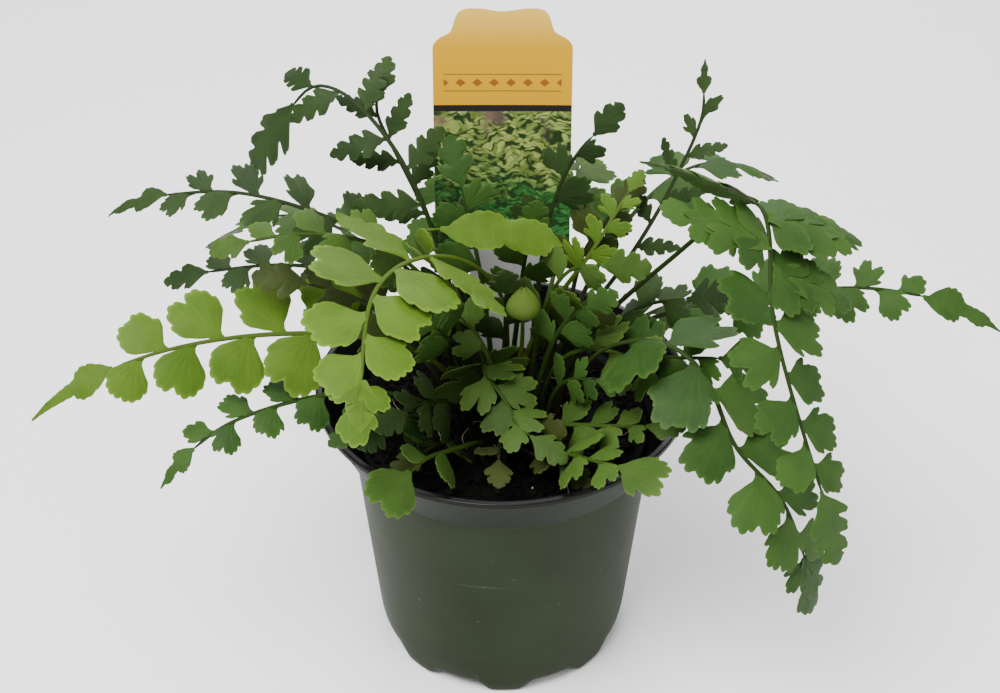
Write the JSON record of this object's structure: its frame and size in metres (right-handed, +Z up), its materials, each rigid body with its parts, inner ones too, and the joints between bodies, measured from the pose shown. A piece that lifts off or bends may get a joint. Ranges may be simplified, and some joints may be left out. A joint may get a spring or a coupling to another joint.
{
  "type": "potted fern",
  "caption": "Small spleenwort fern with arching, lobed green fronds in a round tapered nursery pot of dark green plastic, with a plain flat plant label standing behind it",
  "frame": {"origin": "centre of the pot's flat underside, on the surface it stands on", "axes": "+Z up along the pot's axis; -Y toward the viewer of the front; +X to the viewer's right; the plant label stands on the +Y side"},
  "size_m": [0.286, 0.2076, 0.1893],
  "materials": {
    "pot": "dark green moulded polypropylene, dull outside, black and slightly glossy inside",
    "mix": "loose dark peat potting mix, dull, with a few pale grains",
    "label": "thin printed plastic sheet, satin, yellow to orange head over a green leaf picture, white stake",
    "leaf_bright": "smooth thin leaf, satin, bright yellow-green",
    "leaf_fresh": "smooth thin leaf, satin, fresh green",
    "leaf_mid": "smooth leathery leaf, satin, mid green",
    "leaf_dark": "smooth leathery leaf, satin, dark green",
    "leaf_olive": "smooth thin leaf, dull, brownish olive"
  },
  "bodies": {
    "root": {"frond_back_left": "leaf_mid", "frond_back_low_right": "leaf_dark", "frond_back_middle_left": "leaf_mid", "frond_back_middle_right": "leaf_fresh", "frond_back_right": "leaf_mid", "frond_behind_bud": "leaf_mid", "frond_by_label_left": "leaf_mid", "frond_by_label_right": "leaf_dark", "frond_centre_bright": "leaf_bright", "frond_centre_dark": "leaf_dark", "frond_centre_fans": "leaf_fresh", "frond_centre_lace": "leaf_fresh", "frond_centre_left": "leaf_mid", "frond_centre_olive": "leaf_olive", "frond_centre_right": "leaf_mid", "frond_fan_right": "leaf_mid", "frond_far_right": "leaf_mid", "frond_front_bright": "leaf_bright", "frond_front_dark": "leaf_dark", "frond_front_right": "leaf_mid", "frond_left_bright": "leaf_bright", "frond_left_dark": "leaf_dark", "frond_left_fresh": "leaf_fresh", "frond_left_middle": "leaf_dark", "frond_left_olive": "leaf_olive", "frond_low_centre": "leaf_olive", "frond_low_front": "leaf_olive", "frond_low_front_left": "leaf_olive", "frond_low_front_right": "leaf_olive", "frond_low_left": "leaf_mid", "frond_low_left_dark": "leaf_dark", "frond_mid_right": "leaf_dark", "frond_olive_right": "leaf_olive", "frond_pale_small": "leaf_bright", "frond_right_arch": "leaf_mid", "frond_right_inner": "leaf_fresh", "frond_right_low": "leaf_mid", "frond_rim_front": "leaf_fresh", "frond_rim_left": "leaf_mid", "frond_rim_right": "leaf_fresh", "frond_unrolling": "leaf_bright", "frond_upper_left": "leaf_dark", "frond_upper_left_back": "leaf_dark", "frond_upright": "leaf_dark", "frond_young_centre": "leaf_fresh", "frond_young_right": "leaf_fresh", "plant_label": "label", "pot": "pot", "potting_mix": "mix"}
  },
  "joints": []
}
